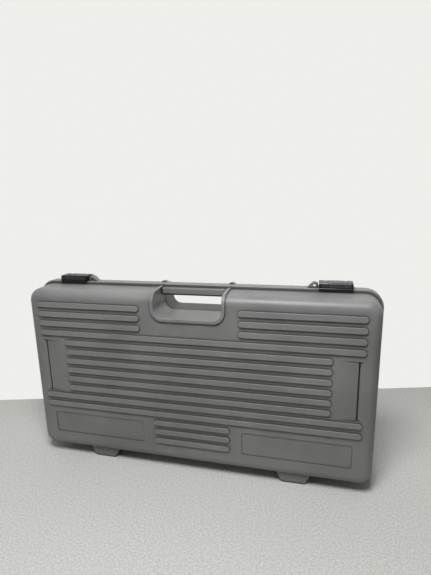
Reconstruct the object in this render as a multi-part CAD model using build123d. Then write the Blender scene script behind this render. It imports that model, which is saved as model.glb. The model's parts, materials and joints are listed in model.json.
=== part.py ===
from build123d import *
from math import sqrt
import os

# Moulded carrying case for guitar pedals. It stands upright on its hinge side: X along the
# width, +Z up to the handle, the ribbed lid towards -Y and the base towards +Y.
# While it is modelled, y = 0 is the parting plane and z = 0 the floor. All in millimetres.

past = 1.0                   # cuts run this far past the surface they open
bite = 1.0                   # added forms run this far into what they join

# ---- shells
overall_width = 602.4        # over the rims
rim_proud = 5.0              # rim beyond the side and upper walls
rim_proud_low = 3.3          # rim below the lower wall
rim_depth = 9.0              # rim along Y, on each shell
rim_round = 1.4
parting_round = 1.0          # rim's edge beside the seam
wall_height = 304.5          # lower wall to upper wall, outside
floor_gap = 16.0             # floor to lower wall
wall = 3.0
corner_radius = 23.0         # corners seen from the front
edge_radius = 15.0           # face to side walls
draft_angle = 2.0            # degrees
lid_face = 59.5              # parting plane to the lid's face
base_face = 40.0             # parting plane to the base's back
seam = 0.3                   # gap between the two rims
tongue_width = 2.0
tongue_height = 2.0
tongue_gap = 0.3

# ---- ribs on the lid's face, in rows counted from the top, and fewer of them on the back
rib_width = 9.7
rib_height = 2.5
rib_round = 0.9
rib_from_top = 27.5          # upper wall to the middle of row 0
rib_from_low = 39.0          # lower wall to the middle of the last row
rib_side_gap = 22.2          # side wall to the end of a long rib
rib_middle = 227.0           # half length of the middle rows
rib_short = 67.0
rib_hole_gap = 26.0          # hand hole to the split rows
split_rows = [0, 1, 2]
long_rows = [3, 10, 11]
middle_rows = [4, 5, 6, 7, 8, 9]
short_rows = [12, 13, 14]
back_rows = [3, 5, 7, 9, 11]

# ---- hand hole, its bead and the handle
hole_half_width = 57.0
hole_drop = 41.5             # upper wall to the hole's floor
hole_corner = 15.0
hole_groove = 1.2            # depth of the groove where the halves meet in the hole
hole_groove_width = 1.2      # on each side of the parting plane
bead_width = 5.6
bead_height = 2.5
bead_round = 0.9
handle_depth = 21.0          # each half, from the parting plane
handle_height = 9.3
handle_plate = 6.0           # plate in front of the handle's core
handle_plate_round = 0.7
handle_end_gap = 2.5         # plate to the hole's sides
handle_core_drop = 3.5       # core below the plate
handle_wall = 2.6
bump_radius = 8.0            # low bumps on the base's rim at the handle's ends
bump_above = 2.2
bump_from_hole = 3.9
bump_start = 5.0
bump_length = 8.0

# ---- shallow places on the lid's face and the slotted side panels
place_rib_gap = 20.0         # short ribs to a place
place_width = 175.0
place_above = 1.0            # place's top below the middle of its first row
place_below = 7.0            # place's floor below the middle of its last row
place_depth = 1.0
place_corner = 3.0
panel_rib_gap = 7.0          # middle ribs to the panel
slot_from_panel = 30.0       # panel's shallow end to the slot
panel_fall = 1.5             # panel's depth beside the slot
slot_width = 2.6
slot_above = 3.0             # slot beyond the middle of its first row
slot_below = 9.0
slot_depth = 8.0
slot_bevel = 6.0             # slope beyond the slot
slot_bevel_depth = 2.2

# ---- feet with hinge knuckles
foot_x = 172.0
foot_top_width = 54.0
foot_bottom_width = 38.5
foot_front = 51.0            # parting plane to the lid foot's front
foot_back = 34.0             # parting plane to the base foot's back
foot_clear = 10.0            # hinge axis to each foot
foot_into_wall = 6.0
foot_corner = 3.0
foot_front_round = 2.0
hinge_z = 7.0
knuckle_radius = 5.0
knuckle_count = 5
knuckle_gap = 0.3
hinge_pin_radius = 2.0
hinge_pin_end = 0.5          # pin short of the knuckles at each end
running_gap = 0.05

# ---- latches
latch_from_side = 72.2       # side rim to the latch's middle
latch_width = 51.5
latch_front = 12.0           # parting plane to the latch's outer front
latch_wall = 2.2
latch_cheek = 1.8
latch_round = 2.6
latch_lip = 1.2
latch_over_rim = 0.9         # skirt reaches this far down the rim's front
cheek_gap = 0.4              # cheeks to the rim under them
pivot_y = 9.1
latch_barrel = 4.7
barrel_gap = 0.4             # barrel to the seat under it
latch_pin_radius = 1.5
latch_pin_end = 1.0          # pin short of the latch at each end
lug_offset = 15.5
lug_width = 5.0
lug_radius = 4.5
lug_gap = 0.3
notch_gap = 0.9
seat_margin = 3.5            # seat beyond the latch at each end
seat_back_margin = 3.0
catch_width = 40.0
catch_thick = 2.5
catch_gap = 1.0              # catch to the latch's skirt
catch_height = 5.4
detent_radius = 0.4
nub_radius = 0.45
nub_above = 0.2              # nub above the latch's lower edge
grip_pitch = 1.9
grip_width = 1.0
grip_height = 0.5
grip_margin = 2.5
grip_down = 7.0              # ribs reach this far down the front

# ---- padlock ears
ear_from_latch = 6.75        # hole centre to the latch's end
ear_above_rim = 3.2          # hole centre above the rim's top
ear_radius = 5.9
ear_hole = 2.5
ear_thick = 4.85

# ---- rubber feet on the back of the base
rubber_side_inset = 34.2     # side wall to the foot's middle
rubber_end_inset = 36.0      # lower and upper wall to the foot's middle
rubber_radius = 12.0
rubber_tip = 10.0
rubber_height = 5.5
rubber_screw_head = 4.0
rubber_screw_head_height = 2.2
rubber_screw_recess = 3.0
rubber_screw_gap = 0.5
rubber_screw = 1.6
boss_radius = 4.0
boss_height = 3.0

# ---- foam
foam_gap = 0.3
bed_front = 2.0              # parting plane to the bed's front
bed_floor = 8.0
bed_side = 7.6               # foam beside the bay
bed_low_edge = 14.7          # foam under the bay
bed_box_gap = 6.0            # junction box to the bed
bay_corner = 4.0
bed_bar = 18.0               # foam between the bay and the pockets
pocket_top_edge = 17.2
pocket_side = 8.9
pocket_hole_gap = 15.7       # foam between the hand hole and a pocket
divider_thick = 5.0
divider_round = 1.6
divider_height = 20.0
pedal_count = 6
first_pedal = 12.0           # free space beside the junction box for plugs
pad_thick = 26.0
boss_pocket = 6.0
slot_backing_gap = 3.0

# ---- junction box
box_side_gap = 5.2           # side wall to the box
box_width = 92.0
box_low_gap = 4.0            # bay's lower edge to the box
box_top_gap = 2.0            # box to the bay's upper edge
box_height = 128.0
box_wall = 2.0
box_standoff = 7.0           # box's back to the base's outer back
box_front = 5.0              # parting plane to the box's open front
box_corner = 4.0
post_radius = 3.5
post_inset = 5.0
cover_thick = 2.0
cover_round = 0.7
cover_screw = 1.3
cover_screw_length = 12.0
cover_screw_head = 2.8
cover_screw_head_height = 1.8
fixing_screw = 1.6
fixing_head = 3.0
fixing_head_height = 1.6
fixing_inset = 22.0
screw_end_gap = 0.5
board_gap = 1.9              # box floor to the board
board_thick = 1.6
board_inset = 8.0            # box's left side to the board
board_right_inset = 13.0
board_end_inset = 10.0
standoff_radius = 2.5
standoff_x = 25.0            # from the box's middle
standoff_inset = 25.0        # from the box's lower and upper end
jack_spacing = 40.0
jack_from_top = 18.0
jack_bush = 4.5
jack_bore = 3.25
jack_body = 14.0
jack_reach = 6.0             # bush in front of the cover's back
jack_bore_end = 2.0
nut_across = 12.6
nut_thick = 2.5
outlet_count = 6
outlet_inset = 14.0          # first and last outlet to the box's ends
outlet_radius = 4.2
outlet_bore = 2.75
outlet_pin = 1.05
outlet_body = 9.0
outlet_depth = 10.0
outlet_reach = 4.0
outlet_bore_depth = 9.0
outlet_pin_down = 1.25       # pin below the bush's end
inlet_from_bottom = 16.0

# ---- worked out from the sizes above
wall_width = overall_width - 2 * rim_proud
middle_z = floor_gap + wall_height / 2
wall_top = floor_gap + wall_height
rim_top = wall_top + rim_proud
inner_side = wall_width / 2 - wall

rib_top_row = wall_top - rib_from_top
rib_pitch = (wall_height - rib_from_top - rib_from_low) / short_rows[-1]
rib_long = wall_width / 2 - rib_side_gap
rib_inner_end = hole_half_width + rib_hole_gap
hole_floor = wall_top - hole_drop
handle_low = wall_top - handle_height
core_low = handle_low - handle_core_drop
core_depth = handle_depth - handle_plate

place_inner = rib_short + place_rib_gap
place_outer = place_inner + place_width
place_low = rib_top_row - short_rows[-1] * rib_pitch - place_below
place_high = rib_top_row - short_rows[0] * rib_pitch - place_above
panel_inner = rib_middle + panel_rib_gap
slot_inner = panel_inner + slot_from_panel
slot_outer = slot_inner + slot_width
slot_low = rib_top_row - middle_rows[-1] * rib_pitch - slot_below
slot_high = rib_top_row - middle_rows[0] * rib_pitch + slot_above

latch_x = overall_width / 2 - latch_from_side
seat_width = latch_width + 2 * seat_margin
seat_back = pivot_y + latch_barrel + seat_back_margin
ear_x = latch_x - latch_width / 2 - ear_from_latch
rubber_x = wall_width / 2 - rubber_side_inset
rubber_low = floor_gap + rubber_end_inset
rubber_high = wall_top - rubber_end_inset
pivot_z = rim_top + barrel_gap + latch_barrel
ear_z = rim_top + ear_above_rim
latch_low = rim_top - latch_over_rim
box_left = -inner_side + box_side_gap
bay_left = box_left + box_width + bed_box_gap
bay_right = inner_side - foam_gap - bed_side
bay_low = floor_gap + wall + foam_gap + bed_low_edge
bay_high = bay_low + box_low_gap + box_height + box_top_gap
pocket_low = bay_high + bed_bar
pocket_high = wall_top - wall - foam_gap - pocket_top_edge
pocket_inner = hole_half_width + wall + foam_gap + pocket_hole_gap
pocket_outer = inner_side - foam_gap - pocket_side
pedal_space = (bay_right - bay_left - first_pedal + divider_thick) / pedal_count - divider_thick
box_low = bay_low + box_low_gap
box_floor = base_face - box_standoff
fixing_heights = [box_low + fixing_inset, box_low + box_height - fixing_inset]
bay_back = base_face - wall - foam_gap - bed_floor
box_middle_x = box_left + box_width / 2
box_middle_z = box_low + box_height / 2
board_back = box_floor - box_wall - board_gap
outlet_y = (box_front + box_floor) / 2
outlet_pitch = (box_height - 2 * outlet_inset) / (outlet_count - 1)
standoff_z = box_height / 2 - standoff_inset
fixing_end = base_face - wall / 2
parting_y = (lid_face + rib_height - base_face - rubber_height) / 2

os.makedirs("parts", exist_ok=True)


def write(name, shape):
    """Move a finished piece into the case's frame and write it."""
    export_step(Pos(0, parting_y, 0) * shape, f"parts/{name}.step")


def facing_front(y):
    """Sketch plane across the case at depth y, seen from the front."""
    return Plane(origin=(0, y, 0), x_dir=(1, 0, 0), z_dir=(0, -1, 0))


def block(x0, x1, y0, y1, z0, z1):
    """Box between two corners."""
    return Pos((x0 + x1) / 2, (y0 + y1) / 2, (z0 + z1) / 2) * Box(x1 - x0, y1 - y0, z1 - z0)


def rod(axis, x, y, z, radius, length):
    """Round bar along Y or X, from the given end towards larger Y or X."""
    if axis == "y":
        base = Plane(origin=(x, y, z), x_dir=(1, 0, 0), z_dir=(0, 1, 0))
    else:
        base = Plane(origin=(x, y, z), x_dir=(0, 1, 0), z_dir=(1, 0, 0))
    return extrude(base * Circle(radius), length)


def rounded_prism(x0, x1, z0, z1, radius, y0, y1):
    """Rounded rectangle seen from the front, from y0 to y1."""
    outline = Pos((x0 + x1) / 2, (z0 + z1) / 2) * RectangleRounded(x1 - x0, z1 - z0, radius)
    return extrude(facing_front(y1) * outline, y1 - y0)


def to_rear(shape):
    """The same form on the base's side of the parting plane."""
    return mirror(shape, Plane.XZ)


def other_side(shape):
    """The same form on the left of the case."""
    return mirror(shape, Plane.YZ)


def both_sides(shape):
    return [shape, other_side(shape)]


def half_form(face, inset):
    """Drafted box with a rounded face, from the parting plane to the front, inset all round."""
    outline = Pos(0, middle_z) * RectangleRounded(
        wall_width - 2 * inset, wall_height - 2 * inset, corner_radius - inset
    )
    form = extrude(facing_front(0) * outline, face - inset)
    sides = [side for side in form.faces() if abs(side.normal_at().Y) < 0.5]
    form = draft(sides, Plane.XZ, draft_angle)
    return fillet(form.edges().group_by(Axis.Y)[0], edge_radius - inset)


def hole_prism(outset, face):
    """The hand hole, open at the top, widened by outset, through one half."""
    high = wall_top + 3 * hole_corner
    return rounded_prism(
        -hole_half_width - outset,
        hole_half_width + outset,
        hole_floor - outset,
        high,
        hole_corner + outset,
        -face - 2 * bead_height,
        0,
    )


def rib(x0, x1, row, face):
    """One raised bar with round ends on a face."""
    z = rib_top_row - row * rib_pitch
    outline = Pos((x0 + x1) / 2, z) * SlotOverall(x1 - x0, rib_width)
    bar = extrude(facing_front(-face + bite) * outline, rib_height + bite)
    return fillet(bar.edges().group_by(Axis.Y)[0], rib_round)


def lid_ribs():
    bars = []
    for row in split_rows:
        bars += both_sides(rib(rib_inner_end, rib_long, row, lid_face))
    for row in long_rows:
        bars.append(rib(-rib_long, rib_long, row, lid_face))
    for row in middle_rows:
        bars.append(rib(-rib_middle, rib_middle, row, lid_face))
    for row in short_rows:
        bars.append(rib(-rib_short, rib_short, row, lid_face))
    return bars


def on_crest(edge):
    """True for the long edges along the top of the bead."""
    start = edge @ 0
    end = edge @ 1
    in_parting_plane = abs(start.Y) < 0.01 and abs(end.Y) < 0.01
    along_y = abs(start.X - end.X) < 0.001 and abs(start.Z - end.Z) < 0.001
    across = abs(edge.length - bead_width) < 0.001
    return not (in_parting_plane or along_y or across)


def bead(face):
    """Raised bead round the hand hole, over the rounded edge and along the top wall."""
    ring = (hole_prism(bead_width, face) - hole_prism(0, face)) & half_form(face, -bead_height)
    crests = [edge for edge in ring.edges() if on_crest(edge)]
    return fillet(crests, bead_round)


def rim():
    """Proud rim beside the parting plane."""
    plate = rounded_prism(
        -overall_width / 2, overall_width / 2, floor_gap - rim_proud_low, rim_top,
        corner_radius + rim_proud, -rim_depth, 0,
    )
    plate = fillet(plate.edges().group_by(Axis.Y)[0], rim_round)
    return fillet(plate.edges().group_by(Axis.Y)[-1], parting_round)


def tongue_ring(gap, height):
    """Ring on the base's rim, or with a gap the groove for it in the lid's rim."""
    middle = (rim_proud_low - wall) / 2
    outer = middle + tongue_width / 2 + gap
    inner = middle - tongue_width / 2 - gap
    rings = []
    for outset in (outer, inner):
        rings.append(
            rounded_prism(
                -wall_width / 2 - outset, wall_width / 2 + outset,
                floor_gap - outset, wall_top + outset,
                corner_radius + outset, -height, seam / 2,
            )
        )
    return rings[0] - rings[1]


def foot_outline(inset, high):
    """Trapezoid of a foot, seen from the front, up to the given height."""
    slope = (foot_top_width - foot_bottom_width) / 2 / floor_gap
    low_half = foot_bottom_width / 2 - inset + slope * inset
    high_half = foot_bottom_width / 2 - inset + slope * high
    corners = [
        (foot_x - low_half, inset),
        (foot_x + low_half, inset),
        (foot_x + high_half, high),
        (foot_x - high_half, high),
    ]
    return make_face(Polyline(*corners, close=True))


def foot(reach):
    """One foot on the right, in front of the parting plane."""
    outline = foot_outline(0, floor_gap + foot_into_wall)
    form = extrude(facing_front(-foot_clear) * outline, reach - foot_clear)
    lower = form.edges().filter_by(Axis.Y).group_by(Axis.Z)[0]
    form = fillet(lower, foot_corner)
    front = form.faces().sort_by(Axis.Y)[0].edges().group_by(Axis.Z)[0]
    return fillet(front, foot_front_round)


def foot_hollow(reach):
    """Space inside a foot."""
    high = floor_gap + foot_into_wall
    return extrude(
        facing_front(-foot_clear - wall) * foot_outline(wall, high), reach - foot_clear - 2 * wall
    )


def knuckles(first):
    """Every second hinge knuckle on the right foot, in front of the axis, bored by its caller."""
    pitch = foot_bottom_width / knuckle_count
    pieces = []
    for i in range(first, knuckle_count, 2):
        x = foot_x - foot_bottom_width / 2 + i * pitch + knuckle_gap / 2
        length = pitch - knuckle_gap
        barrel = rod("x", x, 0, hinge_z, knuckle_radius, length)
        web = block(x, x + length, -foot_clear - wall / 2, 0,
                    hinge_z - knuckle_radius, hinge_z + knuckle_radius)
        pieces.append(barrel + web)
    return pieces


def hinge_bore(radius):
    start = foot_x - foot_bottom_width / 2 - past
    return rod("x", start, 0, hinge_z, radius, foot_bottom_width + 2 * past)


def latch_seat():
    """Raised platform behind the rim, level with it, under a latch's pivot."""
    seat = block(latch_x - seat_width / 2, latch_x + seat_width / 2, 0, seat_back, wall_top - wall, rim_top)
    back = seat.edges().group_by(Axis.Y)[-1].group_by(Axis.Z)[-1]
    return fillet(back, rim_round)


def padlock_ear():
    """Round ear with a ramp towards the middle of the case."""
    touch = ear_radius / sqrt(2)
    run = ear_radius * sqrt(2) + ear_z - wall_top
    ramp = make_face(
        Polyline(
            (ear_x - run, wall_top),
            (ear_x + ear_radius, wall_top),
            (ear_x + ear_radius, ear_z),
            (ear_x, ear_z),
            (ear_x - touch, ear_z + touch),
            close=True,
        )
    )
    outline = ramp + Pos(ear_x, ear_z) * Circle(ear_radius)
    return extrude(facing_front(0) * outline, ear_thick)


def ear_bore():
    return rod("y", ear_x, -ear_thick - past, ear_z, ear_hole, ear_thick + 2 * past)


def handle_half():
    """Half of the handle: hollow core across the hand hole, plate before it and the rim over it."""
    reach = hole_half_width + bite
    core = block(-reach, reach, -core_depth, 0, core_low, wall_top)
    plate_end = hole_half_width - handle_end_gap
    plate = block(-plate_end, plate_end, -handle_depth, -core_depth, handle_low, wall_top)
    plate = fillet(plate.edges().group_by(Axis.Y)[0], handle_plate_round)
    lip = block(-reach, reach, -rim_depth, 0, wall_top - bite, rim_top)
    crests = lip.edges().filter_by(Axis.X).group_by(Axis.Z)[-1].sort_by(Axis.Y)
    lip = fillet(crests[0], rim_round)
    crests = lip.edges().filter_by(Axis.X).group_by(Axis.Z)[-1].sort_by(Axis.Y)
    lip = fillet(crests[-1], parting_round)
    hollow = block(
        -hole_half_width + handle_wall, hole_half_width - handle_wall,
        -core_depth + handle_wall, 0, core_low + handle_wall, wall_top - handle_wall,
    )
    return core + plate + lip - hollow


def parting_groove(face):
    """Groove inside the hand hole, where the two halves meet."""
    ring = hole_prism(hole_groove, face) - hole_prism(0, face)
    return ring & block(-overall_width, overall_width, -hole_groove_width, 0, 0, core_low)


def rim_bump():
    """Low round bump over the base's rim at the handle's right end."""
    x = hole_half_width + bump_from_hole
    bar = rod("y", x, bump_start, rim_top + bump_above - bump_radius, bump_radius, bump_length)
    return bar & block(0, overall_width, 0, overall_width, wall_top - bite, 2 * wall_top)


def shell_half(face, ribs, foot_reach):
    """What both halves share, on the front side of the parting plane."""
    body = half_form(face, 0) + rim() + ribs
    body += bead(face)
    body += both_sides(foot(foot_reach)) + both_sides(padlock_ear())
    cavity = half_form(face, wall) - hole_prism(wall, face)
    body -= cavity
    body -= both_sides(foot_hollow(foot_reach))
    body -= hole_prism(0, face)
    body -= parting_groove(face)
    body += handle_half()
    body -= both_sides(ear_bore())
    return body


def place_cut():
    """Shallow bare place on the right of the lid's face."""
    return rounded_prism(place_inner, place_outer, place_low, place_high, place_corner,
                         -lid_face - past, -lid_face + place_depth)


def side_panel_cut():
    """Panel that falls towards a deep slot, and the slope beyond the slot."""
    section = make_face(
        Polyline(
            (panel_inner, -lid_face), (slot_inner, -lid_face + panel_fall),
            (slot_inner, -lid_face + slot_depth), (slot_outer, -lid_face + slot_depth),
            (slot_outer, -lid_face + slot_bevel_depth), (slot_outer + slot_bevel, -lid_face),
            (slot_outer + slot_bevel, -lid_face - past), (panel_inner, -lid_face - past), close=True,
        )
    )
    return extrude(Pos(0, 0, slot_low) * section, slot_high - slot_low)


def slot_backing():
    """Wall behind the slot, inside the lid."""
    return block(slot_inner - wall, slot_outer + wall, -lid_face + wall / 2, -lid_face + slot_depth + wall,
                 slot_low - wall, slot_high + wall)


def latch_catch():
    """Rib on the lid's seat that the latch hooks over, with a detent bead."""
    front = -latch_front + latch_wall + catch_gap
    rib_body = block(latch_x - catch_width / 2, latch_x + catch_width / 2, front, front + catch_thick,
                     rim_top - bite, rim_top + catch_height)
    detent = rod("x", latch_x - catch_width / 2, front, rim_top + catch_height - 2 * detent_radius,
                 detent_radius, catch_width)
    return rib_body + detent


def make_lid_shell():
    shell = shell_half(lid_face, lid_ribs(), foot_front)
    shell += both_sides(slot_backing())
    shell -= both_sides(side_panel_cut()) + both_sides(place_cut())
    shell += both_sides(latch_catch())
    shell -= block(-overall_width, overall_width, -seam / 2, rim_depth, -past, 2 * wall_top)
    shell -= tongue_ring(tongue_gap, tongue_height + tongue_gap)
    for piece in knuckles(1):
        shell += both_sides(piece)
    shell -= both_sides(hinge_bore(hinge_pin_radius + running_gap))
    return shell


def latch_lugs():
    """Two lugs on the base's seat for the latch pin, modelled behind the parting plane."""
    lugs = []
    for offset in (-lug_offset, lug_offset):
        x = latch_x + offset - lug_width / 2
        top = rod("x", x, pivot_y, pivot_z, lug_radius, lug_width)
        body = block(x, x + lug_width, pivot_y - lug_radius, pivot_y + lug_radius, wall_top - bite, pivot_z)
        lugs.append(top + body)
    return lugs


def rubber_places():
    return [(x, z) for x in (-rubber_x, rubber_x) for z in (rubber_low, rubber_high)]


def make_base_shell():
    ribs = [rib(-rib_middle, rib_middle, row, base_face) for row in back_rows]
    shell = to_rear(shell_half(base_face, ribs, foot_back))
    shell += both_sides(latch_seat()) + both_sides(rim_bump())
    for piece in latch_lugs():
        shell += both_sides(piece)
    bore = rod("x", latch_x - latch_width / 2, pivot_y, pivot_z, latch_pin_radius, latch_width)
    shell -= both_sides(bore)
    boss_front = base_face - wall - boss_height
    for x, z in rubber_places():
        shell += rod("y", x, boss_front, z, boss_radius, boss_height + wall / 2)
        shell -= rod("y", x, boss_front - past, z, rubber_screw, boss_height + wall + 2 * past)
    boss_length = fixing_end - box_floor
    for z in fixing_heights:
        shell += rod("y", box_middle_x, box_floor, z, boss_radius, boss_length)
        shell -= rod("y", box_middle_x, box_floor - past, z, fixing_screw, boss_length + past)
    shell -= block(-overall_width, overall_width, -rim_depth, seam / 2, -past, 2 * wall_top)
    shell += tongue_ring(0, tongue_height - seam / 2)
    for piece in knuckles(0):
        shell += both_sides(to_rear(piece))
    shell -= both_sides(hinge_bore(hinge_pin_radius))
    return shell


def latch_profile():
    """Side view of a latch: plate, front skirt and pivot barrel, as (y, z)."""
    top = pivot_z + latch_barrel
    under = top - latch_wall
    inner = -latch_front + latch_wall
    plate = make_face(
        Polyline(
            (-latch_front, latch_low), (-latch_front, top), (pivot_y, top), (pivot_y, under),
            (inner, under), (inner, latch_low), close=True,
        )
    )
    corner = plate.vertices().group_by(Axis.X)[0].sort_by(Axis.Y)[-1]
    plate = fillet(corner, latch_round)
    return plate + Pos(pivot_y, pivot_z) * Circle(latch_barrel)


def grip_ribs():
    """Fine ribs over the latch's top and the upper part of its front."""
    top = pivot_z + latch_barrel
    outer = offset(latch_profile(), grip_height)
    keep = Pos((pivot_y - latch_front - past) / 2, top) * Rectangle(
        pivot_y + latch_front + past, 2 * grip_down
    )
    band = (outer & keep) - latch_profile()
    span = latch_width - 2 * grip_margin
    count = int(span / grip_pitch)
    start = latch_x - (count - 1) * grip_pitch / 2 - grip_width / 2
    ribs = []
    for i in range(count):
        plane = Plane(origin=(start + i * grip_pitch, 0, 0), x_dir=(0, 1, 0), z_dir=(1, 0, 0))
        ribs.append(extrude(plane * band, grip_width))
    return ribs


def make_latch():
    """Right latch."""
    side = Plane(origin=(latch_x - latch_width / 2, 0, 0), x_dir=(0, 1, 0), z_dir=(1, 0, 0))
    body = extrude(side * latch_profile(), latch_width)
    top = pivot_z + latch_barrel
    cheek = block(0, latch_cheek, -latch_front + latch_wall / 2, pivot_y,
                  rim_top + cheek_gap, top - latch_wall / 2)
    body += Pos(latch_x - latch_width / 2, 0, 0) * cheek
    body += Pos(latch_x + latch_width / 2 - latch_cheek, 0, 0) * cheek
    nub_z = latch_low + nub_above + nub_radius
    body += rod("x", latch_x - catch_width / 2, -latch_front + latch_wall, nub_z, nub_radius, catch_width)
    body += rod("x", latch_x - latch_width / 2, -latch_front, latch_low + latch_lip, latch_lip, latch_width)
    body += grip_ribs()
    half = lug_width / 2 + lug_gap
    notch_front = pivot_y - lug_radius - notch_gap
    notch_back = pivot_y + latch_barrel + past
    for x in (latch_x - lug_offset, latch_x + lug_offset):
        body -= block(x - half, x + half, notch_front, notch_back, latch_low - past, top + past)
    return body - rod("x", latch_x - latch_width / 2 - past, pivot_y, pivot_z,
                      latch_pin_radius + running_gap, latch_width + 2 * past)


def make_bed():
    """Foam bed in the base: bays for the pedals and two pockets for small things."""
    bed = to_rear(half_form(base_face, wall + foam_gap))
    bed -= to_rear(hole_prism(wall + foam_gap, base_face))
    bed -= block(-overall_width, overall_width, -past, bed_front, 0, 2 * wall_top)
    bed -= block(-overall_width, bay_left, -past, base_face, 0, bay_high)
    bay_start = bay_left - 2 * bay_corner
    bed -= rounded_prism(bay_start, bay_right, bay_low, bay_high, bay_corner, -past, bay_back)
    pocket = rounded_prism(pocket_inner, pocket_outer, pocket_low, pocket_high, bay_corner, -past, bay_back)
    bed -= both_sides(pocket)
    for x, z in rubber_places():
        bed -= rod("y", x, base_face - wall - boss_height - foam_gap, z, boss_pocket, boss_height + wall)
    return bed


def make_divider(index):
    """Loose foam divider between two pedals."""
    x = bay_left + first_pedal + pedal_space + index * (pedal_space + divider_thick)
    back = bay_back - foam_gap
    strip = block(x, x + divider_thick, back - divider_height, back,
                  bay_low + foam_gap, bay_high - foam_gap)
    return fillet(strip.edges().group_by(Axis.Y)[0].filter_by(Axis.Z), divider_round)


def make_pad():
    """Foam pad in the lid, cut out round the hand hole and behind the side slots."""
    pad = half_form(lid_face, wall + foam_gap)
    pad -= hole_prism(wall + foam_gap, lid_face)
    pad_rear = -lid_face + wall + foam_gap + pad_thick
    pad -= block(-overall_width, overall_width, pad_rear, past, 0, 2 * wall_top)
    backing = wall + slot_backing_gap
    cut = block(slot_inner - backing, overall_width, -lid_face, 0, slot_low - backing, slot_high + backing)
    pad -= both_sides(cut)
    return pad


def rubber_foot(x, z):
    """Round rubber foot with a recess for its screw."""
    cone = Pos(0, 0, base_face + rubber_height / 2) * Cone(rubber_radius, rubber_tip, rubber_height)
    foot_body = Pos(x, 0, z) * Rot(-90, 0, 0) * cone
    recess_y = base_face + rubber_height - rubber_screw_recess
    recess = rod("y", x, recess_y, z, rubber_screw_head + rubber_screw_gap, rubber_screw_recess + past)
    return foot_body - recess - rod("y", x, base_face - past, z, rubber_screw, rubber_height)


def foot_screw(x, z):
    seat_y = base_face + rubber_height - rubber_screw_recess
    head = rod("y", x, seat_y, z, rubber_screw_head, rubber_screw_head_height)
    shank_y = base_face - wall - boss_height
    return head + rod("y", x, shank_y, z, rubber_screw, seat_y - shank_y)


def box_posts():
    right = box_left + box_width
    top = box_low + box_height
    return [(x, z) for x in (box_left + post_inset, right - post_inset)
            for z in (box_low + post_inset, top - post_inset)]


def outlet_heights():
    first = box_middle_z - (outlet_count - 1) / 2 * outlet_pitch
    return [first + i * outlet_pitch for i in range(outlet_count)]


def make_junction_box():
    right = box_left + box_width
    top = box_low + box_height
    body = rounded_prism(box_left, right, box_low, top, box_corner, box_front, box_floor)
    body -= rounded_prism(box_left + box_wall, right - box_wall, box_low + box_wall, top - box_wall,
                          box_corner - box_wall, box_front - past, box_floor - box_wall)
    for x, z in box_posts():
        body += rod("y", x, box_front, z, post_radius, box_floor - box_front - box_wall / 2)
        body -= rod("y", x, box_front - past, z, cover_screw, cover_screw_length + past)
    for x in (box_middle_x - standoff_x, box_middle_x + standoff_x):
        for z in (box_middle_z - standoff_z, box_middle_z + standoff_z):
            body += rod("y", x, board_back, z, standoff_radius, board_gap + box_wall / 2)
    for z in fixing_heights:
        body -= rod("y", box_middle_x, box_floor - box_wall - past, z, fixing_screw, box_wall + 2 * past)
    for z in outlet_heights():
        body -= rod("x", right - box_wall - past, outlet_y, z, outlet_radius, box_wall + 2 * past)
    return body


def jack_places():
    z = box_low + box_height - jack_from_top
    return [(box_middle_x - jack_spacing / 2, z), (box_middle_x + jack_spacing / 2, z)]


def inlet_place():
    return box_middle_x, box_low + inlet_from_bottom


def make_box_cover():
    right = box_left + box_width
    top = box_low + box_height
    cover = rounded_prism(box_left, right, box_low, top, box_corner, box_front - cover_thick, box_front)
    cover = fillet(cover.edges().group_by(Axis.Y)[0], cover_round)
    for x, z in box_posts():
        cover -= rod("y", x, 0, z, cover_screw, box_front + past)
    for x, z in jack_places():
        cover -= rod("y", x, 0, z, jack_bush, box_front + past)
    x, z = inlet_place()
    return cover - rod("y", x, 0, z, outlet_radius, box_front + past)


def cover_screws():
    screws = []
    seat_y = box_front - cover_thick
    for x, z in box_posts():
        head = rod("y", x, seat_y - cover_screw_head_height, z, cover_screw_head, cover_screw_head_height)
        screws.append(head + rod("y", x, seat_y, z, cover_screw, cover_screw_length))
    return screws


def fixing_screws():
    seat_y = box_floor - box_wall
    screws = []
    for z in fixing_heights:
        head = rod("y", box_middle_x, seat_y - fixing_head_height, z, fixing_head, fixing_head_height)
        shank = rod("y", box_middle_x, seat_y, z, fixing_screw, fixing_end - screw_end_gap - seat_y)
        screws.append(head + shank)
    return screws


def make_board():
    right = box_left + box_width
    top = box_low + box_height
    return block(box_left + board_inset, right - board_right_inset, board_back - board_thick, board_back,
                 box_low + board_end_inset, top - board_end_inset)


def make_jack(x, z):
    """Panel jack: body behind the cover, threaded bush through it."""
    back = board_back - board_thick
    half = jack_body / 2
    body = block(x - half, x + half, box_front, back, z - half, z + half)
    tip = box_front - jack_reach
    body += rod("y", x, tip, z, jack_bush, jack_reach + bite)
    return body - rod("y", x, tip - past, z, jack_bore, back - jack_bore_end - tip + past)


def jack_nuts():
    nuts = []
    seat_y = box_front - cover_thick
    hexagon = RegularPolygon(nut_across / 2, 6, major_radius=False)
    for x, z in jack_places():
        nut = extrude(facing_front(seat_y) * Pos(x, z) * hexagon, nut_thick)
        nuts.append(nut - rod("y", x, seat_y - nut_thick - past, z, jack_bush, nut_thick + 2 * past))
    return nuts


def upright(radius, z0, z1):
    return Pos(0, 0, (z0 + z1) / 2) * Cylinder(radius, z1 - z0)


def power_socket():
    """Round power socket on +Z: square body below z = 0, bush above, pin in the bore."""
    tip = box_wall + outlet_reach
    body = Pos(0, 0, -outlet_depth / 2) * Box(outlet_body, outlet_body, outlet_depth)
    body += upright(outlet_radius, 0, tip)
    body -= upright(outlet_bore, tip - outlet_bore_depth, tip + past)
    return body + upright(outlet_pin, tip - outlet_bore_depth - bite, tip - outlet_pin_down)


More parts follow.
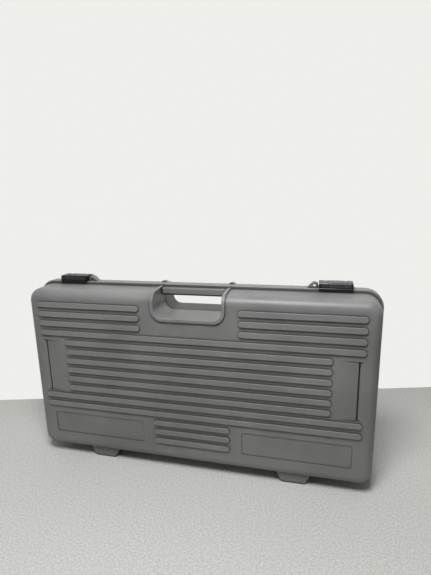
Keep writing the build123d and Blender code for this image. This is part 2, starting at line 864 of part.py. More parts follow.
def make_outlet(z):
    right = box_left + box_width
    place = Plane(origin=(right - box_wall, outlet_y, z), x_dir=(0, 1, 0), z_dir=(1, 0, 0))
    return place.location * power_socket()


def make_inlet():
    x, z = inlet_place()
    place = Plane(origin=(x, box_front, z), x_dir=(1, 0, 0), z_dir=(0, -1, 0))
    return place.location * power_socket()


def group(pieces):
    """Separate like pieces as one node."""
    return Compound([piece.solid() for piece in pieces])


def main():
    write("lid_shell", make_lid_shell())
    write("base_shell", make_base_shell())
    latch = make_latch()
    write("latch_right", latch)
    write("latch_left", other_side(latch))
    latch_pin_start = latch_x - latch_width / 2 + latch_pin_end
    latch_pin_length = latch_width - 2 * latch_pin_end
    latch_pin = rod("x", latch_pin_start, pivot_y, pivot_z, latch_pin_radius, latch_pin_length)
    write("latch_pin_right", latch_pin)
    write("latch_pin_left", other_side(latch_pin))
    hinge_pin_start = foot_x - foot_bottom_width / 2 + hinge_pin_end
    hinge_pin_length = foot_bottom_width - 2 * hinge_pin_end
    hinge_pin = rod("x", hinge_pin_start, 0, hinge_z, hinge_pin_radius, hinge_pin_length)
    write("hinge_pin_right", hinge_pin)
    write("hinge_pin_left", other_side(hinge_pin))
    write("foam_bed", make_bed())
    write("lid_pad", make_pad())
    for i in range(pedal_count - 1):
        write(f"foam_divider_{i + 1}", make_divider(i))
    for i, (x, z) in enumerate(rubber_places()):
        write(f"rubber_foot_{i + 1}", rubber_foot(x, z))
    write("foot_screws", group([foot_screw(x, z) for x, z in rubber_places()]))
    write("junction_box", make_junction_box())
    write("junction_box_cover", make_box_cover())
    write("cover_screws", group(cover_screws()))
    write("fixing_screws", group(fixing_screws()))
    write("circuit_board", make_board())
    for name, (x, z) in zip(("input_jack", "output_jack"), jack_places()):
        write(name, make_jack(x, z))
    write("jack_nuts", group(jack_nuts()))
    write("power_inlet", make_inlet())
    for i, z in enumerate(outlet_heights()):
        write(f"power_outlet_{i + 1}", make_outlet(z))


main()
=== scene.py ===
import json
from math import pi

import bmesh
import bpy
import numpy as np
from mathutils import Matrix, Vector


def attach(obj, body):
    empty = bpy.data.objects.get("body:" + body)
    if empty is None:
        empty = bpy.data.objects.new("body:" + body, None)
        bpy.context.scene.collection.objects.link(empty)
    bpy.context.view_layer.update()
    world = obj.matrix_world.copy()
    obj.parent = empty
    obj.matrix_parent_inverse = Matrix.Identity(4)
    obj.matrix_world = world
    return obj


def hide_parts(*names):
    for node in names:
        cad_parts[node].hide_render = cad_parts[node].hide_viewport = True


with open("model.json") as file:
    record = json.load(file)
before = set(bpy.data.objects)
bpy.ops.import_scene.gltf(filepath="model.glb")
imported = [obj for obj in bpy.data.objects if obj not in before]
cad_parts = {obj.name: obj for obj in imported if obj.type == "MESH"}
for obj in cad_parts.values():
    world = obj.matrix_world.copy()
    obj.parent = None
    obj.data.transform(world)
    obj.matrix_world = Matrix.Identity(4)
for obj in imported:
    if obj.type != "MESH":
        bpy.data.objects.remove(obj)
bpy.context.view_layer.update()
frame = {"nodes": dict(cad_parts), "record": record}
nodes = frame["nodes"]
print("case loaded:", len(nodes), "nodes")


# camera: where the photograph was taken from, in metres

cameraPlace = {
    "eye": (0.1945, -0.63475, 0.469),
    "forward": (-0.23697, 0.94631, -0.21986),
    "right": (0.97098, 0.23823, -0.02119),
    "lens": 25.04,
    "filmWidth": 36.0,
    "nearest": 0.02,
    "farthest": 50,
}


def makeCamera(place):
    data = bpy.data.cameras.new("camera")
    data.lens = place["lens"]
    data.sensor_width = place["filmWidth"]
    data.clip_start = place["nearest"]
    data.clip_end = place["farthest"]
    camera = bpy.data.objects.new("camera", data)
    bpy.context.scene.collection.objects.link(camera)
    forward = Vector(place["forward"]).normalized()
    right = Vector(place["right"]).normalized()
    up = right.cross(forward).normalized()
    right = forward.cross(up)
    turn = Matrix((right, up, -forward)).transposed().to_4x4()
    camera.matrix_world = Matrix.Translation(Vector(place["eye"])) @ turn
    bpy.context.scene.camera = camera


makeCamera(cameraPlace)
print("camera set")


# shader maths: a socket that takes part in Python expressions

class Wire:
    def __init__(self, paint, socket):
        self.paint = paint
        self.socket = socket

    def maths(self, operation, *values):
        return self.paint.add("ShaderNodeMath", {"operation": operation}, dict(enumerate(values)))

    def __add__(self, other):
        return self.maths("ADD", self, other)

    def __radd__(self, other):
        return self.maths("ADD", other, self)

    def __sub__(self, other):
        return self.maths("SUBTRACT", self, other)

    def __rsub__(self, other):
        return self.maths("SUBTRACT", other, self)

    def __mul__(self, other):
        return self.maths("MULTIPLY", self, other)

    def __rmul__(self, other):
        return self.maths("MULTIPLY", other, self)

    def __truediv__(self, other):
        return self.maths("DIVIDE", self, other)

    def __pow__(self, other):
        return self.maths("POWER", self, other)

    def __abs__(self):
        return self.maths("ABSOLUTE", self)

    def fraction(self):
        return self.maths("FRACT", self)

    def most(self, other):
        return self.maths("MAXIMUM", self, other)

    def least(self, other):
        return self.maths("MINIMUM", self, other)

    def ramp(self, low, high, smooth=True):
        # 0 below low, 1 above high; low may be the larger
        kind = {"interpolation_type": "SMOOTHSTEP" if smooth else "LINEAR"}
        span = {"Value": self, "From Min": low, "From Max": high}
        return self.paint.add("ShaderNodeMapRange", kind, span)


class Paint:
    # one material and its nodes
    def __init__(self, name):
        self.material = bpy.data.materials.new(name)
        self.material.use_nodes = True
        self.tree = self.material.node_tree
        self.tree.nodes.clear()

    def add(self, kind, settings=None, values=None, out=0):
        node = self.tree.nodes.new(kind)
        for key, value in (settings or {}).items():
            setattr(node, key, value)
        for key, value in (values or {}).items():
            socket = node.inputs[key]
            if isinstance(value, Wire):
                self.tree.links.new(value.socket, socket)
            elif isinstance(value, tuple) and len(value) == 3 and len(socket.default_value) == 4:
                socket.default_value = (*value, 1)
            else:
                socket.default_value = value
        return Wire(self, node.outputs[out]) if node.outputs else None

    def place(self):
        return self.add("ShaderNodeTexCoord", out="Object")

    def axes(self, vector):
        split = self.add("ShaderNodeSeparateXYZ", values={0: vector})
        return [Wire(self, split.socket.node.outputs[i]) for i in range(3)]

    def stretched(self, vector, scale, turn=(0, 0, 0)):
        return self.add("ShaderNodeMapping", values={"Vector": vector, "Scale": scale, "Rotation": turn})

    def moved(self, vector, scale, reach):
        # the place, pushed up to the reach in each direction by a coloured noise
        push = self.add("ShaderNodeTexNoise", values={"Vector": vector, "Scale": scale}, out="Color")
        step = self.add("ShaderNodeVectorMath", {"operation": "SCALE"}, {0: push, "Scale": reach})
        return self.add("ShaderNodeVectorMath", {"operation": "ADD"}, {0: vector, 1: step})

    def noise(self, vector, scale, detail=2.0, rough=0.5):
        return self.add("ShaderNodeTexNoise", values={
            "Vector": vector, "Scale": scale, "Detail": detail, "Roughness": rough,
        })

    def patches(self, vector, noise, limits):
        # a noise of (scale, detail, roughness), 0 below the first limit and 1 above the second
        return self.noise(vector, *noise).ramp(*limits)

    def cells(self, vector, scale):
        # distance from the middle of the nearest cell
        return self.add("ShaderNodeTexVoronoi", values={"Vector": vector, "Scale": scale}, out="Distance")

    def mixed(self, factor, low, high):
        # the colour low where factor is 0, high where it is 1
        return self.add("ShaderNodeMix", {"data_type": "RGBA"}, {"Factor": factor, 6: low, 7: high}, 2)

    def creases(self, reach, samples):
        # 1 where other surfaces come nearer than the reach, 0 in the open
        return 1.0 - self.add("ShaderNodeAmbientOcclusion", {"samples": samples}, {"Distance": reach}, "AO")

    def bump(self, height, distance, strength=1.0):
        values = {"Height": height, "Distance": distance, "Strength": strength}
        return self.add("ShaderNodeBump", values=values)

    def finish(self, values):
        shader = self.add("ShaderNodeBsdfPrincipled", values=values)
        self.add("ShaderNodeOutputMaterial", values={"Surface": shader})
        return self.material


# materials: patches are ((scale, detail, roughness), (starts, full)), lengths and depths are in metres

shellLook = {
    "colour": (0.176, 0.174, 0.173),
    "shade": (0.140, 0.138, 0.138),
    "worn": (0.30, 0.295, 0.29),
    "dusty": (0.30, 0.30, 0.30),
    # the dark colour of the painted shade laid into the creases
    "paintedCreaseShade": (0.030, 0.029, 0.028),
    "clouds": ((9, 3, 0.55), (0.35, 0.68)),
    "patches": ((38, 4, 0.7), (0.56, 0.74)),
    "frontCrests": (-0.0505, -0.0535),  # y of the ribs' tops
    "backCrests": (0.0495, 0.0507),
    "topEdge": (0.3235, 0.3253),  # z
    "crestWear": 0.10,
    "patchWear": 0.22,
    "footSoles": (0.009, 0.001),  # z
    "footScuffs": ((160, 3, 0.6), (0.4, 0.7)),
    "footWear": 0.5,
    "scratchStretch": (14, 60, 190),
    "scratchTurn": (0.2, 0.5, 0.15),
    "scratches": ((3.2, 5, 0.75), (0.70, 0.76)),
    "scratchWear": 0.20,
    "dust": ((300, 3, 0.65), (0.66, 0.80)),
    "dustShare": 0.10,
    "flecks": ((520, 2, 0.6), (0.62, 0.72)),
    "fleckShare": 0.10,
    "coarseFlecks": (0.60, 0.70),
    "coarseFleckShare": 0.06,
    # how far, how finely and how strongly the painted crease shade reaches
    "creaseShadeReach": 0.007,
    "creaseShadeSamples": 12,
    "creaseShadeRange": (0.05, 0.36),
    "creaseShadeOutsidePatches": 0.8,  # share of the painted crease shade outside the patches, and what the patches add
    "creaseShadeFromPatches": 0.2,
    "roughness": 0.42,
    "grainRoughness": 0.10,
    "cloudRoughness": 0.05,
    "wearRoughness": 0.05,
    "fineGrain": (1500, 2, 0.6),
    "coarseGrain": (620, 2, 0.5),
    "fineShare": 0.6,
    "coarseShare": 0.4,
    "grainDepth": 0.00016,
    "shine": 0.45,
}


def makeShellPlastic(look):
    # moulded plastic: slow mottling, fine grain, paler on crests and where hands and floors rub, with
    # painted shade darkening the creases
    paint = Paint("shellPlastic")
    at = paint.place()
    y, z = paint.axes(at)[1:]
    fine = paint.noise(at, *look["fineGrain"])
    coarse = paint.noise(at, *look["coarseGrain"])
    clouds = paint.patches(at, *look["clouds"])
    colour = paint.mixed(clouds, look["shade"], look["colour"])
    patches = paint.patches(at, *look["patches"])
    crests = y.ramp(*look["frontCrests"]) + z.ramp(*look["topEdge"]) + y.ramp(*look["backCrests"])
    rubbed = crests * (look["crestWear"] + patches * look["patchWear"])
    feet = z.ramp(*look["footSoles"]) * paint.patches(at, *look["footScuffs"])
    drawn = paint.stretched(at, look["scratchStretch"], look["scratchTurn"])
    scratches = paint.patches(drawn, *look["scratches"])
    wear = (rubbed + feet * look["footWear"] + scratches * look["scratchWear"]).least(1.0)
    colour = paint.mixed(wear, colour, look["worn"])
    colour = paint.mixed(paint.patches(at, *look["dust"]) * look["dustShare"], colour, look["dusty"])
    flecks = paint.patches(at, *look["flecks"]) * look["fleckShare"]
    flecks = flecks + coarse.ramp(*look["coarseFlecks"]) * look["coarseFleckShare"]
    colour = paint.mixed(flecks, colour, look["worn"])
    # painted shade: the colour is darkened where other surfaces come near, in the creases round the ribs
    # and between parts, more so in the patches
    paintedCreaseShade = paint.creases(look["creaseShadeReach"], look["creaseShadeSamples"]).ramp(*look["creaseShadeRange"], smooth=False)
    paintedCreaseShade = paintedCreaseShade * (look["creaseShadeOutsidePatches"] + patches * look["creaseShadeFromPatches"])
    colour = paint.mixed(paintedCreaseShade.least(1.0), colour, look["paintedCreaseShade"])
    rough = look["roughness"] + (fine - 0.5) * look["grainRoughness"]
    rough = rough + clouds * look["cloudRoughness"] - wear * look["wearRoughness"]
    height = fine * look["fineShare"] + coarse * look["coarseShare"]
    return paint.finish({
        "Base Color": colour,
        "Roughness": rough,
        "Normal": paint.bump(height, look["grainDepth"]),
        "Specular IOR Level": look["shine"],
    })


latchLook = {
    "colour": (0.0075, 0.0075, 0.0085),
    "worn": (0.16, 0.16, 0.162),
    "top": (0.3352, 0.3357),  # z of the grip ribs' crests on the top edge
    "front": (-0.0039, -0.0042),  # y of the ribs' crests on the skirt
    "skirt": (0.3280, 0.3290),  # z above which the skirt is rubbed
    "skirtWear": 0.6,
    "smears": ((90, 3, 0.6), (0.4, 0.75)),
    "evenWear": 0.45,
    "smearWear": 0.55,
    "roughness": 0.24,
    "smearRoughness": 0.14,
    "wearRoughness": 0.12,
    "grain": (3000, 2, 0.5),
    "grainDepth": 0.00002,
    "grainStrength": 0.6,
}


def makeLatchPlastic(look):
    # glossy black moulding with dulled, dusty ribs
    paint = Paint("latchPlastic")
    at = paint.place()
    y, z = paint.axes(at)[1:]
    smears = paint.patches(at, *look["smears"])
    skirt = y.ramp(*look["front"]) * z.ramp(*look["skirt"]) * look["skirtWear"]
    high = z.ramp(*look["top"]).most(skirt)
    wear = (high * (look["evenWear"] + smears * look["smearWear"])).least(1.0)
    return paint.finish({
        "Base Color": paint.mixed(wear, look["colour"], look["worn"]),
        "Roughness": look["roughness"] + smears * look["smearRoughness"] + high * look["wearRoughness"],
        "Normal": paint.bump(paint.noise(at, *look["grain"]), look["grainDepth"], look["grainStrength"]),
    })


rubberLook = {
    "colour": (0.018, 0.018, 0.019),
    "dusty": (0.09, 0.088, 0.085),
    "dust": ((220, 4, 0.7), (0.45, 0.75)),
    "sole": (0.050, 0.0535),  # y
    "dustShare": 0.6,
    "roughness": 0.78,
    "dustRoughness": 0.12,
    "grain": (1800, 3, 0.6),
    "grainDepth": 0.00008,
}


def makeRubber(look):
    # matte moulded rubber, dusty on the face that meets the floor
    paint = Paint("feetRubber")
    at = paint.place()
    y = paint.axes(at)[1]
    dust = paint.patches(at, *look["dust"]) * y.ramp(*look["sole"])
    return paint.finish({
        "Base Color": paint.mixed(dust * look["dustShare"], look["colour"], look["dusty"]),
        "Roughness": look["roughness"] + dust * look["dustRoughness"],
        "Normal": paint.bump(paint.noise(at, *look["grain"]), look["grainDepth"]),
    })


steelLook = {
    "colour": (0.50, 0.50, 0.51),
    "dull": (0.30, 0.29, 0.28),
    "patches": ((420, 3, 0.6), (0.45, 0.7)),
    "roughness": 0.28,
    "patchRoughness": 0.16,
    "markStretch": (900, 900, 120),
    "marks": (4, 2, 0.5),
    "markDepth": 0.00002,
    "markStrength": 0.5,
}


def makeSteel(look):
    # zinc-plated steel with fine turning marks and dull patches
    paint = Paint("platedSteel")
    at = paint.place()
    marks = paint.noise(paint.stretched(at, look["markStretch"]), *look["marks"])
    patches = paint.patches(at, *look["patches"])
    return paint.finish({
        "Base Color": paint.mixed(patches, look["colour"], look["dull"]),
        "Metallic": 1.0,
        "Roughness": look["roughness"] + patches * look["patchRoughness"],
        "Normal": paint.bump(marks, look["markDepth"], look["markStrength"]),
    })


nutLook = {
    "colour": (0.62, 0.61, 0.59),
    "smeared": (0.48, 0.47, 0.45),
    "smears": ((500, 3, 0.6), (0.4, 0.7)),
    "roughness": 0.14,
    "smearRoughness": 0.12,
}


def makeNutChrome(look):
    # nickel-plated nuts, softly smeared
    paint = Paint("nutChrome")
    smears = paint.patches(paint.place(), *look["smears"])
    return paint.finish({
        "Base Color": paint.mixed(smears, look["colour"], look["smeared"]),
        "Metallic": 1.0,
        "Roughness": look["roughness"] + smears * look["smearRoughness"],
    })


boxLook = {
    "colour": (0.014, 0.014, 0.015),
    "shade": (0.010, 0.010, 0.011),
    "clouds": ((30, 3, 0.6), (0.35, 0.7)),
    "roughness": 0.44,
    "cloudRoughness": 0.08,
    "pits": 1500,
    "pitDepth": 0.00006,
    "pitStrength": 0.7,
}


def makeBoxPlastic(look):
    # satin black spark-textured plastic of the junction box
    paint = Paint("boxPlastic")
    at = paint.place()
    clouds = paint.patches(at, *look["clouds"])
    return paint.finish({
        "Base Color": paint.mixed(clouds, look["shade"], look["colour"]),
        "Roughness": look["roughness"] + clouds * look["cloudRoughness"],
        "Normal": paint.bump(paint.cells(at, look["pits"]), look["pitDepth"], look["pitStrength"]),
    })


socketLook = {
    "colour": (0.007, 0.007, 0.007),
    "smeared": (0.013, 0.013, 0.013),
    "smears": ((260, 3, 0.6), (0.35, 0.75)),
    "roughness": 0.26,
    "smearRoughness": 0.14,
}


def makeSocketPlastic(look):
    # hard glossy plastic of the jacks and power sockets
    paint = Paint("socketPlastic")
    smears = paint.patches(paint.place(), *look["smears"])
    return paint.finish({
        "Base Color": paint.mixed(smears, look["colour"], look["smeared"]),
        "Roughness": look["roughness"] + smears * look["smearRoughness"],
    })


boardLook = {
    "mask": (0.012, 0.085, 0.030),
    "track": (0.020, 0.150, 0.055),
    "pad": (0.45, 0.44, 0.40),
    "pitch": 0.00254,
    "trackEdge": (0.26, 0.20),  # shares of the pitch from a track's or a pad's middle
    "padEdge": (0.30, 0.24),
    "trackStretch": (1, 1, 0.1),
    "trackRuns": ((130, 1), (0.45, 0.5)),
    "padGroups": ((90, 1), (0.60, 0.62)),
    "padMetal": 0.8,
    "roughness": 0.30,
    "trackRoughness": 0.05,
    "trackDepth": 0.00004,
}


def makeBoard(look):
    # green solder mask with paler tracks in rows and tinned pads on a grid
    paint = Paint("circuitBoard")
    at = paint.place()
    x, _, z = paint.axes(at)
    acrossX = abs((x / look["pitch"]).fraction() - 0.5)
    acrossZ = abs((z / look["pitch"]).fraction() - 0.5)
    runs = paint.patches(paint.stretched(at, look["trackStretch"]), *look["trackRuns"])
    tracks = acrossX.ramp(*look["trackEdge"]) * runs
    ring = (acrossX * acrossX + acrossZ * acrossZ) ** 0.5
    pads = ring.ramp(*look["padEdge"]) * paint.patches(at, *look["padGroups"])
    colour = paint.mixed(tracks, look["mask"], look["track"])
    return paint.finish({
        "Base Color": paint.mixed(pads, colour, look["pad"]),
        "Metallic": pads * look["padMetal"],
        "Roughness": look["roughness"] + tracks * look["trackRoughness"],
        "Normal": paint.bump(tracks + pads, look["trackDepth"]),
    })


foamLook = {
    "bed": (0.030, 0.030, 0.033),
    "pad": (0.040, 0.040, 0.043),
    "paintedPoreShade": 0.35,  # painted shade in the pores and painted light on the walls, as shares of the foam's own colour
    "paintedWallLight": 1.7,
    "cell": 1150,
    "largeCell": 483,
    "wobble": 420,
    "wobbleReach": 0.0006,
    "pore": (0.55, 0.15),
    "wall": (0.25, 0.75),
    "largeWall": (0.1, 0.6),
    "wallShare": 0.7,
    "largeShare": 0.3,
    "poreShare": 0.2,
    "cellDepth": 0.00035,
    "patches": ((14, 3, 0.6), (0.35, 0.7)),
    "patchShare": 0.4,
    "lintColour": (0.16, 0.16, 0.16),
    "lintStretch": (1, 1, 5),
    "lint": ((240, 4, 0.7), (0.70, 0.78)),
    "lintShare": 0.35,
    "roughness": 0.94,
    "wobbleRoughness": 0.06,
    "sheen": 0.25,
    "sheenRoughness": 0.6,
    "shine": 0.25,
}


def makeFoam(name, colour, look):
    # open-cell foam: painted shade in the pores and painted light on the cell walls, faint lint on top
    paint = Paint(name)
    at = paint.place()
    wobble = paint.noise(at, look["wobble"])
    cells = paint.cells(paint.moved(at, look["wobble"], look["wobbleReach"]), look["cell"])
    large = paint.cells(at, look["largeCell"]).ramp(*look["largeWall"])
    pores = cells.ramp(*look["pore"])
    walls = cells.ramp(*look["wall"])
    # painted light: a shaded copy of the foam's colour in the pores and a lit copy on the cell walls
    dark = tuple(c * look["paintedPoreShade"] for c in colour)
    paintedWallLightColour = tuple(c * look["paintedWallLight"] for c in colour)
    patches = paint.patches(at, *look["patches"]) * look["patchShare"]
    tone = paint.mixed(patches, paint.mixed(walls, dark, paintedWallLightColour), colour)
    lint = paint.patches(paint.stretched(at, look["lintStretch"]), *look["lint"]) * look["lintShare"]
    height = walls * look["wallShare"] + large * look["largeShare"] - pores * look["poreShare"]
    return paint.finish({
        "Base Color": paint.mixed(lint, tone, look["lintColour"]),
        "Roughness": look["roughness"] - wobble * look["wobbleRoughness"],
        "Normal": paint.bump(height, look["cellDepth"]),
        "Sheen Weight": look["sheen"],
        "Sheen Roughness": look["sheenRoughness"],
        "Specular IOR Level": look["shine"],
    })


looks = {
    "shell": makeShellPlastic(shellLook),
    "latch": makeLatchPlastic(latchLook),
    "rubber": makeRubber(rubberLook),
    "steel": makeSteel(steelLook),
    "nut": makeNutChrome(nutLook),
    "box": makeBoxPlastic(boxLook),
    "socket": makeSocketPlastic(socketLook),
    "board": makeBoard(boardLook),
    "foam": makeFoam("bedFoam", foamLook["bed"], foamLook),
}
padFoam = makeFoam("lidFoam", foamLook["pad"], foamLook)


def dress(piece, material):
    piece.data.materials.clear()
    piece.data.materials.append(material)


slotOf = {part["node"]: part["material_slot"] for part in frame["record"]["subparts"]}
for name, piece in nodes.items():
    dress(piece, looks[slotOf[name]])
print("materials made:", len(bpy.data.materials))


# new pieces: points and faces worked out as whole arrays

def newPiece(name, points, faces, smooth=True):
    mesh = bpy.data.meshes.new(name)
    mesh.from_pydata(points.tolist(), [], faces)
    mesh.update()
    if smooth:
        mesh.polygons.foreach_set("use_smooth", np.ones(len(mesh.polygons), bool))
    piece = bpy.data.objects.new(name, mesh)
    bpy.context.scene.collection.objects.link(piece)
    return piece


def gridFaces(rows, columns):
    # quads of a grid of points, numbered row by row, closed round its columns
    i = np.arange(rows - 1)[:, None] * columns
    j = np.arange(columns)[None, :]
    k = (j + 1) % columns
    return np.stack([i + j, i + k, i + columns + k, i + columns + j], -1).reshape(-1, 4)


def faceOutwards(mesh, merge=0):
    # doubles within the merge distance are joined first, as a CAD node's loose triangles need
    work = bmesh.new()
    work.from_mesh(mesh)
    if merge:
        bmesh.ops.remove_doubles(work, verts=work.verts, dist=merge)
    bmesh.ops.recalc_face_normals(work, faces=work.faces)
    work.to_mesh(mesh)
    work.free()


# screws: shank, domed head and a cross recess, one surface each

footScrew = {
    "node": "foot_screws",
    "x": (-0.262, 0.262),
    "z": (0.052, 0.2845),
    "seat": 0.05075,  # y under the head, and of the shank's end
    "end": 0.04225,
    "facing": 1,
    "radius": 0.0040,
    "height": 0.0022,
    "dome": 0.0009,
    "shank": 0.0016,
}
coverScrew = {
    "node": "cover_screws",
    "x": (-0.283, -0.201),
    "z": (0.043, 0.161),
    "seat": 0.01125,
    "end": 0.02325,
    "facing": -1,
    "radius": 0.0028,
    "height": 0.0018,
    "dome": 0.0007,
    "shank": 0.0013,
}
head = {  # shares of the head's radius and height, but for the neck's length
    "tip": 0.1,
    "neck": 0.0001,
    "seatEdge": (0.97, 0.03),
    "flankTop": 0.85,
    "shoulder": (0.99, 0.97),
    "crownEdge": 0.96,
    "crownMiddle": 0.004,
    "arm": 0.62,
    "halfArm": 0.13,
    "recess": 0.55,
    "slope": 0.06,
}
screwGrid = {"around": 96, "rings": 26}
screwTurn = {"most": 0.6, "byX": 40, "byZ": 25}  # radians, and radians a metre


def screwSurface(look):
    # profile (r, h) from the shank's end to the head's middle, turned about the axis; over the
    # head, h falls by the recess where |u| or |v| is under the half arm and the other under the arm
    radius, height, shank = look["radius"], look["height"], look["shank"]
    length = abs(look["end"] - look["seat"])
    flank = height - look["dome"]
    r = np.linspace(1, head["crownMiddle"], screwGrid["rings"]) * radius * head["crownEdge"]
    crown = height - look["dome"] * (r / radius) ** 2
    low = [
        (head["tip"] * shank, -length),
        (shank, -length),
        (shank, -head["neck"]),
        (shank, 0),
        (head["seatEdge"][0] * radius, 0),
        (radius, head["seatEdge"][1] * height),
        (radius, head["flankTop"] * flank),
        (head["shoulder"][0] * radius, head["shoulder"][1] * flank),
    ]
    profile = np.vstack([np.array(low), np.stack([r, crown], 1)])
    angle = np.arange(screwGrid["around"]) * 2 * pi / screwGrid["around"]
    u = profile[:, 0, None] * np.cos(angle) / radius
    v = profile[:, 0, None] * np.sin(angle) / radius

    def arm(a, b):
        side = np.clip((head["halfArm"] + head["slope"] - abs(a)) / head["slope"], 0, 1)
        end = np.clip((head["arm"] - abs(b)) / head["slope"], 0, 1)
        return side * end

    cut = np.maximum(arm(u, v), arm(v, u)) * head["recess"] * height
    cut[: len(low)] = 0
    return u * radius, v * radius, profile[:, 1, None] - cut


def makeScrews(name, look):
    u, v, h = screwSurface(look)
    rows, columns = u.shape
    quads = gridFaces(rows, columns)
    caps = [list(range(columns)), list(range((rows - 1) * columns, rows * columns))]
    points, faces = [], []
    for x in look["x"]:
        for z in look["z"]:
            turn = screwTurn["most"] * np.sin(screwTurn["byX"] * x + screwTurn["byZ"] * z)
            along = u * np.cos(turn) - v * np.sin(turn)
            across = u * np.sin(turn) + v * np.cos(turn)
            start = len(points) * rows * columns
            place = np.stack([x + along, look["seat"] + look["facing"] * h, z + across], -1)
            points.append(place.reshape(-1, 3))
            faces += (quads + start).tolist() + [[start + i for i in cap] for cap in caps]
    piece = newPiece(name, np.vstack(points), faces)
    faceOutwards(piece.data)
    dress(piece, looks["steel"])
    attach(piece, "base")
    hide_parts(look["node"])


makeScrews("footScrews", footScrew)
makeScrews("coverScrews", coverScrew)
print("screws made")


# foam: each cut block gets soft edges and an uneven cut

foamCut = {
    "voxel": 0.0030,
    "dividerVoxel": 0.0012,
    "merge": 1e-6,
    "smoothing": 4,
    "smoothingShare": 0.5,
    "unevenness": 0.00028,
    "waveLength": 0.021,
    "waves": (((1, 0, 0.31), 1, 1.3), ((0.27, 0.4, -1), 1.37, 0.4), ((0.6, 1, 0.5), 0.83, 2.1)),
    "tighter": 0.0004,  # drawn in all round, clear of the shells
    "fill": 0.9,
}


def waves(points, look):
    # mean of the sines of place along a slant, times a rate, plus a phase; about -1 to 1
    turns = 2 * pi / look["waveLength"]
    total = 0
    for slant, rate, phase in look["waves"]:
        total = total + np.sin(turns * rate * (points @ np.array(slant)) + phase)
    return total / len(look["waves"])


def cutFoam(name, node, body, material, voxel):
    # the CAD block rebuilt from voxels and smoothed, then moved along its normals by the waves
    mesh = nodes[node].data.copy()
    mesh.name = name
    piece = bpy.data.objects.new(name, mesh)
    bpy.context.scene.collection.objects.link(piece)
    faceOutwards(mesh, foamCut["merge"])
    remesh = piece.modifiers.new("remesh", "REMESH")
    remesh.mode = "VOXEL"
    remesh.voxel_size = voxel
    soften = piece.modifiers.new("soften", "SMOOTH")
    soften.iterations = foamCut["smoothing"]
    soften.factor = foamCut["smoothingShare"]
    bpy.context.view_layer.update()
    seen = piece.evaluated_get(bpy.context.evaluated_depsgraph_get())
    final = bpy.data.meshes.new_from_object(seen)
    piece.modifiers.clear()
    piece.data = final
    points = np.empty((len(final.vertices), 3), np.float32)
    normals = np.empty_like(points)
    final.vertices.foreach_get("co", points.ravel())
    final.vertex_normals.foreach_get("vector", normals.ravel())
    shift = waves(points, foamCut) * foamCut["unevenness"] - foamCut["tighter"]
    final.vertices.foreach_set("co", (points + normals * shift[:, None]).ravel())
    final.polygons.foreach_set("use_smooth", np.ones(len(final.polygons), bool))
    final.update()
    dress(piece, material)
    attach(piece, body)
    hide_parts(node)


cutFoam("foamBed", "foam_bed", "base", looks["foam"], foamCut["voxel"])
cutFoam("lidPad", "lid_pad", "lid", padFoam, foamCut["voxel"])
dividers = sorted(name for name in nodes if name.startswith("foam_divider_"))
for i, node in enumerate(dividers, 1):
    cutFoam(f"foamDivider{i}", node, "base", looks["foam"], foamCut["dividerVoxel"])
print("foam cut")


# stage: pale floor and wall, turned as the room is

room = {
    "floor": (0.57, 0.57, 0.55),
    "speckle": ((330, 3, 0.8), (0.35, 0.65)),
    "speckleShade": 0.72,
    "floorRoughness": 0.85,
    "wall": (0.86, 0.86, 0.83),
    "wallStart": (-0.535, 0.100),
    "wallEnd": (0.486, 0.375),
    "reach": 4.0,
}


def stageSheet(name, corners, material):
    piece = newPiece(name, np.array(corners), [[0, 1, 2, 3]], smooth=False)
    dress(piece, material)


def makeFloor(look):
    paint = Paint("floor")
    dark = tuple(c * look["speckleShade"] for c in look["floor"])
    colour = paint.mixed(paint.patches(paint.place(), *look["speckle"]), dark, look["floor"])
    material = paint.finish({"Base Color": colour, "Roughness": look["floorRoughness"]})
    side = look["reach"]
    stageSheet("floor", [(-side, -side, 0), (side, -side, 0), (side, side, 0), (-side, side, 0)], material)


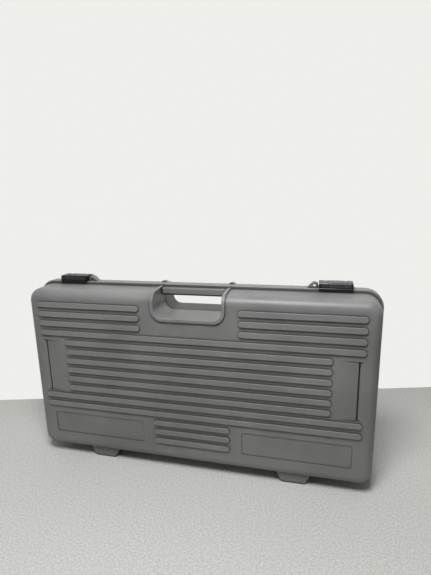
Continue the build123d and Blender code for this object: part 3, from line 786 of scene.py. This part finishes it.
def makeWall(look):
    # seen from the front only, so that views from behind look past it
    paint = Paint("wall")
    back = paint.add("ShaderNodeNewGeometry", out="Backfacing")
    path = paint.add("ShaderNodeLightPath").socket.node
    seen = Wire(paint, path.outputs["Is Camera Ray"]).most(Wire(paint, path.outputs["Is Glossy Ray"]))
    matte = paint.add("ShaderNodeBsdfDiffuse", values={"Color": look["wall"]})
    lit = paint.add("ShaderNodeEmission", values={"Color": look["wall"], "Strength": 1.0})
    front = paint.add("ShaderNodeMixShader", values={0: seen, 1: matte, 2: lit})
    clear = paint.add("ShaderNodeBsdfTransparent")
    both = paint.add("ShaderNodeMixShader", values={0: back, 1: front, 2: clear})
    paint.add("ShaderNodeOutputMaterial", values={"Surface": both})
    start = np.array(look["wallStart"])
    along = np.array(look["wallEnd"]) - start
    along = along / np.linalg.norm(along) * look["reach"]
    a = start - along
    b = start + along
    top = look["reach"]
    stageSheet("wall", [(*a, 0), (*b, 0), (*b, top), (*a, top)], paint.material)


makeFloor(room)
makeWall(room)
print("stage set")


# light: one soft lamp above and in front, a weak one from the left, even surroundings

lamps = {
    "above": {"place": (0.08, -0.52, 1.12), "aim": (0.0, -0.05, 0.2), "size": 0.36, "power": 14},
    "left": {"place": (-2.0, -1.3, 1.0), "aim": (0.2, 0, 0.2), "size": 1.2, "power": 3},
}
surroundings = {"colour": (0.95, 0.95, 0.94), "strength": 0.17}


def makeLamp(name, look):
    data = bpy.data.lights.new(name, "AREA")
    data.size = look["size"]
    data.energy = look["power"]
    lamp = bpy.data.objects.new(name, data)
    bpy.context.scene.collection.objects.link(lamp)
    place = Vector(look["place"])
    lamp.rotation_euler = (Vector(look["aim"]) - place).to_track_quat("-Z", "Y").to_euler()
    lamp.location = place


def makeSurroundings(look):
    world = bpy.data.worlds.new("surroundings")
    world.use_nodes = True
    background = world.node_tree.nodes["Background"]
    background.inputs["Color"].default_value = (*look["colour"], 1)
    background.inputs["Strength"].default_value = look["strength"]
    bpy.context.scene.world = world


for name, look in lamps.items():
    makeLamp(name, look)
makeSurroundings(surroundings)
bpy.context.scene.view_settings.view_transform = "Standard"
print("lights set")
